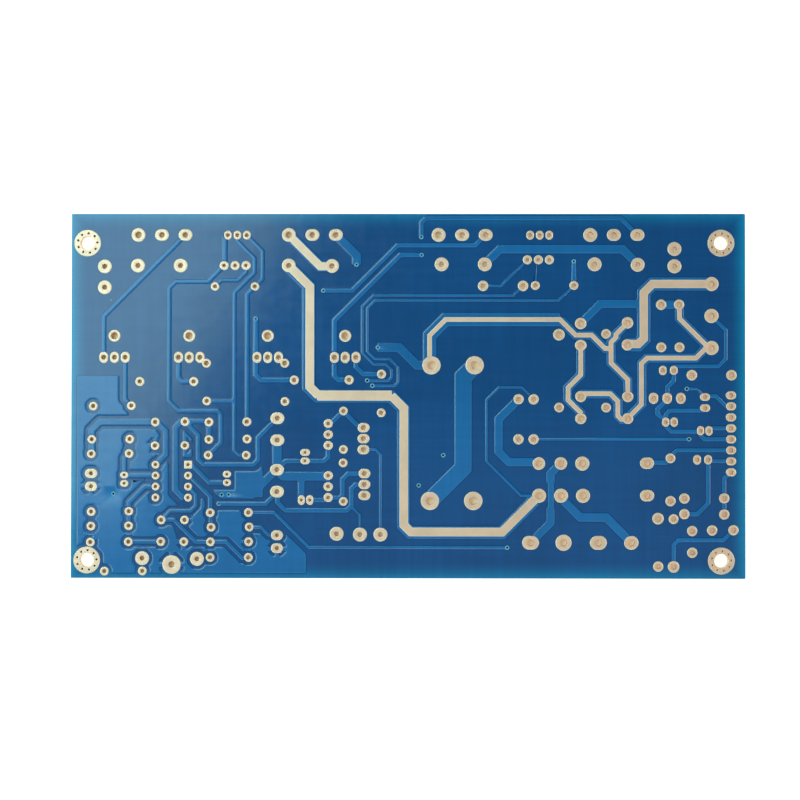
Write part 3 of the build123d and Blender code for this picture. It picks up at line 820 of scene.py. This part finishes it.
def floor_finish(settings):
    """Floor that reads as white to the camera, with the board's shadow; under the board a painted warm glow
    and a painted reflection of the gold barrels show through the lead holes.
    """
    surface = Surface("floor_finish")
    open_light, lip = 0.75, millimetres(0.8)
    grain = surface.noise(40, 2.0)
    darker = [channel * 0.985 for channel in settings.floor_tint]
    pale = surface.mix(surface.span(grain, *MOTTLE), settings.floor_tint, darker)
    rays = surface.node("ShaderNodeLightPath")
    seen = surface.math("MAXIMUM", rays.outputs["Is Camera Ray"], rays.outputs["Is Glossy Ray"])
    seen = surface.math("MAXIMUM", seen, rays.outputs["Is Transmission Ray"])
    x, y = surface.axis("X"), surface.axis("Y")
    half_length, half_width = millimetres(LAMINATE_HIGH.x), millimetres(LAMINATE_HIGH.y)
    under_x = surface.math("LESS_THAN", surface.math("ABSOLUTE", x), half_length - lip)
    under_y = surface.math("LESS_THAN", surface.math("ABSOLUTE", y), half_width - lip)
    under = surface.math("MULTIPLY", under_x, under_y)
    open_floor = surface.math("MULTIPLY", surface.math("SUBTRACT", 1.0, under), open_light)
    shaded = surface.math("MULTIPLY", under, surface.span(surface.value("through"), 0.5, 0.7, 1.0, 0.0))
    # Painted glow under the board, brighter towards its right end
    seep = surface.math("MULTIPLY", shaded, surface.span(x, -half_length, half_length, *HOLE_LIGHT))
    lit = surface.math("MAXIMUM", surface.math("MAXIMUM", open_floor, surface.value("through")), seep)
    glow = surface.mix(shaded, WHITE, HOLE_GLOW_TINT)
    # Painted warm reflection of the gold barrels on the floor under the board
    tint = surface.mix(under, pale, HOLE_FLOOR_REFLECTION_TINT)
    surface.put(surface.shader, "Emission Color", glow)
    surface.put(surface.shader, "Emission Strength", surface.math("MULTIPLY", seen, lit))
    return surface.finish(tint, 0.9)


def materials():
    """The board's finishes, made once."""
    scene = bpy.context.scene
    makers = {
        "blue_lacquer": lambda: blue_lacquer(scene.board_lacquer),
        "satin_gold": lambda: satin_gold(scene.board_finish),
        "tented_rim": tented_rim,
        "cut_laminate": lambda: cut_laminate(scene.board_finish),
        "floor_finish": lambda: floor_finish(scene.board_stage),
    }
    return {name: bpy.data.materials.get(name) or make() for name, make in makers.items()}


# Pieces

# Edges that turn more than this stay sharp: on copper and stripes, and on turned lands and rings
SOFT_EDGE = math.radians(50)
TURNED_EDGE = math.radians(40)


def drilled_circles(extra):
    """Round loops of every hole through the laminate, grown by an extra radius."""
    loops = [circle(land.centre, land.hole + extra, 20) for land in EVERY_LAND]
    via_radius = bpy.context.scene.board_finish.via_hole / 2
    loops += [circle(centre, via_radius, 20) for centre in VIA_CENTRES]
    for centre, _, bore in EYELETS:
        loops.append(circle(centre, bore + extra, 40))
        loops += [circle(spot, STITCH_RADIUS + extra, 12) for spot in stitch_centres(centre)]
    return loops


def board_rectangle(margin=0.0):
    """The board's outline, inset by a margin."""
    low_x, low_y = LAMINATE_LOW.x + margin, LAMINATE_LOW.y + margin
    high_x, high_y = LAMINATE_HIGH.x - margin, LAMINATE_HIGH.y - margin
    return [Vector(p) for p in ((low_x, low_y), (high_x, low_y), (high_x, high_y), (low_x, high_y))]


class BOARD_OT_laminate(bpy.types.Operator):
    """Makes the drilled laminate with its cut edges"""

    bl_idname = "board.laminate"
    bl_label = "Laminate"

    def execute(self, context):
        plating = context.scene.board_finish.plating
        shell = Shell()
        outline = rounded(board_rectangle(), BOARD_CORNER)
        holes = [loop[::-1] for loop in drilled_circles(plating)]
        bevel = 0.05
        levels = [
            (bevel, LAMINATE_BASE), (0.0, LAMINATE_BASE + bevel),
            (0.0, LAMINATE_TOP - bevel), (bevel, LAMINATE_TOP),
        ]
        shell.stack([([inset(outline, distance)] + holes, z, {}) for distance, z in levels])
        shell.piece("drilled_laminate", materials()["cut_laminate"], "glass_epoxy", "laminate")
        return {"FINISHED"}


class BOARD_OT_lacquer(bpy.types.Operator):
    """Makes the lacquer films on both faces"""

    bl_idname = "board.lacquer"
    bl_label = "Lacquer films"

    def execute(self, context):
        lacquer = context.scene.board_lacquer
        via_radius = context.scene.board_finish.via_hole / 2
        openings = [land.outline(lacquer.opening, 28) for land in EVERY_LAND]
        openings += [circle(centre, via_radius, 16) for centre in VIA_CENTRES]
        openings += [circle(centre, ring + lacquer.opening, 48) for centre, ring, _ in EYELETS]
        set_back = 0.02
        outline = rounded(board_rectangle(set_back), BOARD_CORNER)
        holes = [loop[::-1] for loop in merged(openings) if signed_area(loop) > 0]
        sides = {
            "front_lacquer": (LAMINATE_TOP, LAMINATE_TOP + lacquer.film),
            "back_lacquer": (LAMINATE_BASE - lacquer.film, LAMINATE_BASE),
        }
        for name, (low, high) in sides.items():
            shell = Shell()
            shell.plate([outline] + holes, [(0.0, low, {}), (0.0, high, {})])
            shell.piece(name, materials()["blue_lacquer"], "glass_epoxy")
        return {"FINISHED"}


def reaching_under(loops):
    """Strips that carry copper on from its butting edges to under the lands."""
    keep = 0.85
    strips = []
    for loop in loops:
        for start, end in zip(loop, loop[1:] + loop[:1]):
            middle = (start + end) / 2
            for land in EVERY_LAND:
                near = (middle - land.centre).length < land.size.length
                if near and land.meets(start) and land.meets(end) and land.meets(middle):
                    inner_start = land.centre + (start - land.centre) * keep
                    inner_end = land.centre + (end - land.centre) * keep
                    strip = [start, inner_start, inner_end, end]
                    strips.append(strip if signed_area(strip) > 0 else strip[::-1])
    return strips


def copper_outline(name, radius, corner_radius=None):
    """A copper node's loops, carried under its lands, with vias joined and corners rounded."""
    finish = bpy.context.scene.board_finish
    loops = top_loops(name)
    joined = [centre for centre in VIA_CENTRES if any(near_loop(loop, centre) for loop in loops)]
    discs = [circle(centre, finish.via_land / 2, 24) for centre in joined]
    drills = [circle(centre, finish.via_hole / 2, 16)[::-1] for centre in joined]
    area = [rounded(loop, radius, corner_radius) for loop in merged(loops + reaching_under(loops) + discs)]
    return merged(area + drills) if drills else area


def near_loop(loop, centre):
    """True where a point lies inside a loop or on its edge."""
    inside = False
    for start, end in zip(loop, loop[1:] + loop[:1]):
        run = end - start
        share = max(0.0, min(1.0, (centre - start).dot(run) / max(run.length_squared, 1e-9)))
        if (start + run * share - centre).length < SAME_PLACE:
            return True
        if (start.y > centre.y) != (end.y > centre.y):
            crossing = start.x + (centre.y - start.y) * run.x / run.y
            if crossing > centre.x:
                inside = not inside
    return inside


class BOARD_OT_copper(bpy.types.Operator):
    """Makes the lacquered tracks and pours, with a light shoulder that is partly a painted highlight and a
    pooled foot that is partly painted shade
    """

    bl_idname = "board.copper"
    bl_label = "Lacquered copper"

    def execute(self, context):
        lacquer = context.scene.board_lacquer
        below_land, above_film, base_lift = 0.007, 0.0005, 0.001
        film_top = LAMINATE_TOP + lacquer.film
        skin = film_top + above_film
        rise = LAND_TOP - below_land - film_top
        # Along the profile the shoulder values mark the slope for the lacquer's painted highlight, and the
        # foot values its painted shade
        profile = [
            (-lacquer.skirt, 0.0, {"foot": 0.4}),
            (-0.6 * lacquer.skirt, 0.03, {"foot": 1.0}),
            (0.0, 0.10, {"foot": 1.0, "copper": 0.3}),
            (0.25 * lacquer.shoulder, 0.48, {"copper": 1.0, "shoulder": 0.7}),
            (0.65 * lacquer.shoulder, 0.88, {"copper": 1.0, "shoulder": 0.7}),
            (lacquer.shoulder, 1.0, {"copper": 1.0}),
            (1.2 * lacquer.shoulder, 1.0, {"copper": 1.0}),
        ]
        levels = [(-lacquer.skirt, LAMINATE_TOP + base_lift, {})]
        levels += [(distance, skin + share * rise, values) for distance, share, values in profile]
        groups = [(TRACK_NODES, TRACK_CORNER, None), (POUR_NODES, POUR_CORNER, POUR_SQUARE_CORNER)]
        for names, radius, corner_radius in groups:
            for name in names:
                outline = copper_outline(name, radius, corner_radius)
                shell = Shell()
                # Small holes get the full shoulder value: a painted highlight ring round each via hole in
                # copper
                shell.plate(outline, levels, {"shoulder": 1.0, "copper": 1.0})
                label, material = "lacquered_" + name, materials()["blue_lacquer"]
                shell.piece(label, material, "lacquered_copper", name, smooth=SOFT_EDGE)
        return {"FINISHED"}


class BOARD_OT_vias(bpy.types.Operator):
    """Makes the lacquered rims of the vias, closed inside by a plug that carries painted shade"""

    bl_idname = "board.vias"
    bl_label = "Via rims"

    def execute(self, context):
        radius = context.scene.board_finish.via_hole / 2
        plug_top, plug_base = LAMINATE_BASE + 0.3, LAMINATE_BASE + 0.2
        inside, outside = radius - 0.02, radius + 0.01
        # Painted shade: the foot value turns the via's inside and its plug near black
        dark = {"foot": 1.0}
        rim = [
            (radius + 0.28, LAND_TOP - 0.03, {}), (radius + 0.24, LAND_TOP + 0.004, {}),
            (radius + 0.15, LAND_TOP + 0.016, {}), (radius + 0.06, LAND_TOP + 0.006, {}),
            (radius, LAND_TOP - 0.05, dark), (inside, plug_top, dark),
        ]
        skirt = [(outside, plug_base, {}), (outside, LAND_TOP - 0.06, {})]
        shell = Shell()
        for centre in VIA_CENTRES:
            rings = [shell.ring(circle(centre, width, 24), z, **values) for width, z, values in rim + skirt]
            for chain in (rings[:6], rings[6:] + rings[:1]):
                for ring, after in zip(chain, chain[1:]):
                    shell.band(ring, after)
            shell.sheet([circle(centre, inside, 24)], plug_top, True, **dark)
            shell.sheet([circle(centre, outside, 24)], plug_base, False)
        shell.piece("via_rims", materials()["tented_rim"], "lacquered_copper", smooth=SOFT_EDGE)
        return {"FINISHED"}


class BOARD_OT_stripes(bpy.types.Operator):
    """Makes the bare gold stripes along the heavy tracks"""

    bl_idname = "board.stripes"
    bl_label = "Bare stripes"

    def execute(self, context):
        # The shoulder value marks the stripes' rims for the gold's painted highlight
        rim = {"shoulder": 1.0}
        levels = [
            (0.0, LAND_TOP - 0.03, rim), (0.0, LAND_TOP - 0.006, rim),
            (0.05, LAND_TOP, rim), (0.16, LAND_TOP, {}),
        ]
        for name in STRIPE_NODES:
            loops = top_loops(name)
            area = [rounded(loop, STRIPE_CORNER) for loop in merged(loops + reaching_under(loops))]
            shell = Shell()
            shell.plate(area, levels)
            shell.piece("tinned_" + name, materials()["satin_gold"], "gold_finish", name, smooth=SOFT_EDGE)
        return {"FINISHED"}


def add_land(shell, land, finish):
    """A land with its plated barrel and the land on the component side, as one closed turning."""
    hole, wall = land.hole, finish.plating
    back = LAMINATE_BASE - finish.back_copper
    edge, barrel_edge, back_edge = 0.03, 0.06, 0.02
    segments = 32

    def bore(extra):
        return [
            land.centre + (hole + extra) * Vector((math.cos(a), math.sin(a)))
            for a in [2 * math.pi * (n + 0.5) / segments for n in range(segments)]
        ]

    def side(grow):
        return land.outline(grow, segments)

    # The third column is the shoulder value, which marks the rim for the gold's painted highlight
    turning = [
        (bore(wall), LAMINATE_TOP, 0.0),
        (side(0.0), LAMINATE_TOP, 1.0),
        (side(0.0), LAND_TOP - edge, 1.0),
        (side(-edge), LAND_TOP - 0.004, 1.0),
        (side(-0.14), LAND_TOP, 0.3),
        (bore(0.12), LAND_TOP, 0.0),
        (bore(0.04), LAND_TOP - 0.012, 0.0),
        (bore(0.0), LAND_TOP - barrel_edge, 0.0),
        (bore(0.0), back + barrel_edge, 0.0),
        (bore(barrel_edge), back, 0.0),
        (side(-edge), back, 1.0),
        (side(0.0), back + back_edge, 1.0),
        (side(0.0), LAMINATE_BASE, 0.0),
        (bore(wall), LAMINATE_BASE, 0.0),
    ]
    rings = [shell.ring(loop, z, shoulder=shoulder) for loop, z, shoulder in turning]
    for ring, after in zip(rings, rings[1:] + rings[:1]):
        shell.band(ring, after)


class BOARD_OT_lands(bpy.types.Operator):
    """Makes the gold-finished lands with their plated lead holes"""

    bl_idname = "board.lands"
    bl_label = "Lands"

    def execute(self, context):
        finish = context.scene.board_finish
        for name, lands in LANDS.items():
            shell = Shell()
            for land in lands:
                add_land(shell, land, finish)
            shell.piece("drilled_" + name, materials()["satin_gold"], "gold_finish", name, smooth=TURNED_EDGE)
        return {"FINISHED"}


class BOARD_OT_eyelets(bpy.types.Operator):
    """Makes the plated rings round the screw holes, with their small plated holes"""

    bl_idname = "board.eyelets"
    bl_label = "Screw hole rings"

    def execute(self, context):
        finish = context.scene.board_finish
        shell = Shell()
        # The shoulder value marks the rings' rims for the gold's painted highlight
        rim = {"shoulder": 1.0}
        front = [
            (0.0, LAMINATE_TOP, rim), (0.0, LAND_TOP - 0.02, rim),
            (0.03, LAND_TOP, rim), (0.10, LAND_TOP, {}),
        ]
        back = [(0.06, 0.0, {}), (0.0, 0.02, rim), (0.0, LAMINATE_BASE, {})]
        for centre, radius, bore in EYELETS:
            loops = [circle(centre, radius, 64), circle(centre, bore, 48)[::-1]]
            loops += [circle(spot, STITCH_RADIUS, 14)[::-1] for spot in stitch_centres(centre)]
            shell.plate(loops, front)
            shell.plate(loops, back)
            shell.tube(centre, bore, finish.plating, LAMINATE_BASE, LAMINATE_TOP, 48)
            for spot in stitch_centres(centre):
                shell.tube(spot, STITCH_RADIUS, finish.plating, LAMINATE_BASE, LAMINATE_TOP, 14)
        gold = materials()["satin_gold"]
        shell.piece("screw_hole_rings", gold, "gold_finish", "mounting_eyelets", smooth=TURNED_EDGE)
        return {"FINISHED"}


def floor_sheet():
    """The floor, with a lit disc under each screw hole."""
    bm = bmesh.new()
    through = bm.verts.layers.float.new("through")
    half_side, disc_light, past_bore, above_floor, drop = 2500, 0.75, 0.3, 0.01, 0.02
    bmesh.ops.create_grid(bm, x_segments=8, y_segments=8, size=millimetres(half_side))
    for centre, _, bore in EYELETS:
        disc = circle(centre, bore + past_bore)
        corners = [bm.verts.new((p.x * MILLIMETRE, p.y * MILLIMETRE, above_floor * MILLIMETRE)) for p in disc]
        for corner in corners:
            corner[through] = disc_light
        bm.faces.new(corners)
    mesh = bpy.data.meshes.new("floor")
    bm.to_mesh(mesh)
    bm.free()
    floor = bpy.data.objects.new("floor", mesh)
    floor.location.z = -millimetres(drop)
    return floor


# Soft lamps in millimetres: place, point that each faces, width and height, and turn about its own axis
LAMPS = {
    "key": ((-205, 136, 450), (-205, 136, 0), (300, 270), math.radians(-29)),
    "side": ((-410, -70, 450), (-410, -70, 0), (340, 420), 0.0),
    "ceiling": ((0, -200, 450), (0, -200, 0), (460, 380), 0.0),
    "fill_right": ((520, 60, 420), (0, 0, 0), (380, 380), 0.0),
    "fill_front": ((60, -520, 420), (0, 0, 0), (380, 380), 0.0),
}
KEY_TINT = (0.64, 1.0, 1.0)
FILL_TINT = (1.0, 0.94, 0.88)
CEILING_RADIANCE = 0.2
FRONT_SHARE = 0.8

# Camera in millimetres: place, point that it looks at, and roll
CAMERA_PLACE = Vector((2.17, -7.12, 450.0))
CAMERA_AIM = Vector((-1.80, -0.95, LAMINATE_TOP))
CAMERA_ROLL = math.radians(0.055)


def add_lamp(name, radiance, tint=WHITE):
    """A rectangular soft lamp at its place, turned to the point that it faces."""
    place, target, size, roll = LAMPS[name]
    data = bpy.data.lights.new(name, "AREA")
    data.shape = "RECTANGLE"
    data.size = millimetres(size[0])
    data.size_y = millimetres(size[1])
    data.energy = radiance * math.pi * data.size * data.size_y
    data.color = tint
    lamp = bpy.data.objects.new(name, data)
    lamp.location = Vector(place) * MILLIMETRE
    towards = (Vector(target) - Vector(place)).normalized()
    lamp.rotation_euler = (towards.to_track_quat("-Z", "Y") @ Quaternion((0, 0, 1), roll)).to_euler()
    bpy.context.scene.collection.objects.link(lamp)
    return lamp


class BOARD_OT_stage(bpy.types.Operator):
    """Makes the floor, the lamps and the camera"""

    bl_idname = "board.stage"
    bl_label = "Stage"

    def execute(self, context):
        scene = context.scene
        stage = scene.board_stage
        floor = floor_sheet()
        floor.data.materials.append(materials()["floor_finish"])
        scene.collection.objects.link(floor)

        world = bpy.data.worlds.new("studio")
        world.use_nodes = True
        scene.world = world
        tree = world.node_tree
        background = tree.nodes["Background"]
        rays = tree.nodes.new("ShaderNodeLightPath")
        strength = tree.nodes.new("ShaderNodeMapRange")
        strength.inputs["To Min"].default_value = stage.world_strength
        strength.inputs["To Max"].default_value = 1.0
        tree.links.new(rays.outputs["Is Camera Ray"], strength.inputs["Value"])
        tree.links.new(strength.outputs["Result"], background.inputs["Strength"])
        background.inputs["Color"].default_value = (1.0, 1.0, 1.0, 1.0)

        add_lamp("key", stage.key_radiance, KEY_TINT)
        add_lamp("side", stage.key_radiance, KEY_TINT)
        add_lamp("ceiling", CEILING_RADIANCE)
        add_lamp("fill_right", stage.fill_radiance, FILL_TINT)
        add_lamp("fill_front", FRONT_SHARE * stage.fill_radiance, FILL_TINT)

        data = bpy.data.cameras.new("camera")
        data.sensor_width = 36.0
        data.lens = stage.lens
        data.clip_start = 0.01
        camera = bpy.data.objects.new("camera", data)
        back = (CAMERA_PLACE - CAMERA_AIM).normalized()
        right = Vector((0, 1, 0)).cross(back).normalized()
        right.rotate(Matrix.Rotation(CAMERA_ROLL, 3, back))
        up = back.cross(right)
        turn = Matrix((right, up, back)).transposed().to_4x4()
        camera.matrix_world = Matrix.Translation(CAMERA_PLACE * MILLIMETRE) @ turn
        scene.collection.objects.link(camera)
        scene.camera = camera
        scene.view_settings.view_transform = "Standard"
        return {"FINISHED"}


class BOARD_PT_panel(bpy.types.Panel):
    """Lists the board's pieces and settings"""

    bl_idname = "BOARD_PT_panel"
    bl_label = "Amplifier board"
    bl_space_type = "VIEW_3D"
    bl_region_type = "UI"
    bl_category = "Board"

    def draw(self, context):
        layout = self.layout
        for operator in OPERATORS:
            layout.operator(operator.bl_idname)
        for group in (context.scene.board_lacquer, context.scene.board_finish, context.scene.board_stage):
            for key in group.__annotations__:
                layout.prop(group, key)


OPERATORS = (
    BOARD_OT_laminate, BOARD_OT_lacquer, BOARD_OT_copper, BOARD_OT_vias, BOARD_OT_stripes,
    BOARD_OT_lands, BOARD_OT_eyelets, BOARD_OT_stage,
)
SETTINGS = {"board_lacquer": LacquerSettings, "board_finish": FinishSettings, "board_stage": StageSettings}


def register():
    """Registers the settings, the operators and the panel."""
    for name, group in SETTINGS.items():
        bpy.utils.register_class(group)
        setattr(bpy.types.Scene, name, bpy.props.PointerProperty(type=group))
    for operator in OPERATORS:
        bpy.utils.register_class(operator)
    bpy.utils.register_class(BOARD_PT_panel)


def unregister():
    """Takes the classes out again."""
    bpy.utils.unregister_class(BOARD_PT_panel)
    for operator in reversed(OPERATORS):
        bpy.utils.unregister_class(operator)
    for name, group in SETTINGS.items():
        delattr(bpy.types.Scene, name)
        bpy.utils.unregister_class(group)


def main():
    """Builds every piece."""
    register()
    bpy.ops.board.laminate()
    bpy.ops.board.lacquer()
    bpy.ops.board.copper()
    bpy.ops.board.vias()
    bpy.ops.board.stripes()
    bpy.ops.board.lands()
    bpy.ops.board.eyelets()
    bpy.ops.board.stage()


if __name__ == "__main__":
    main()
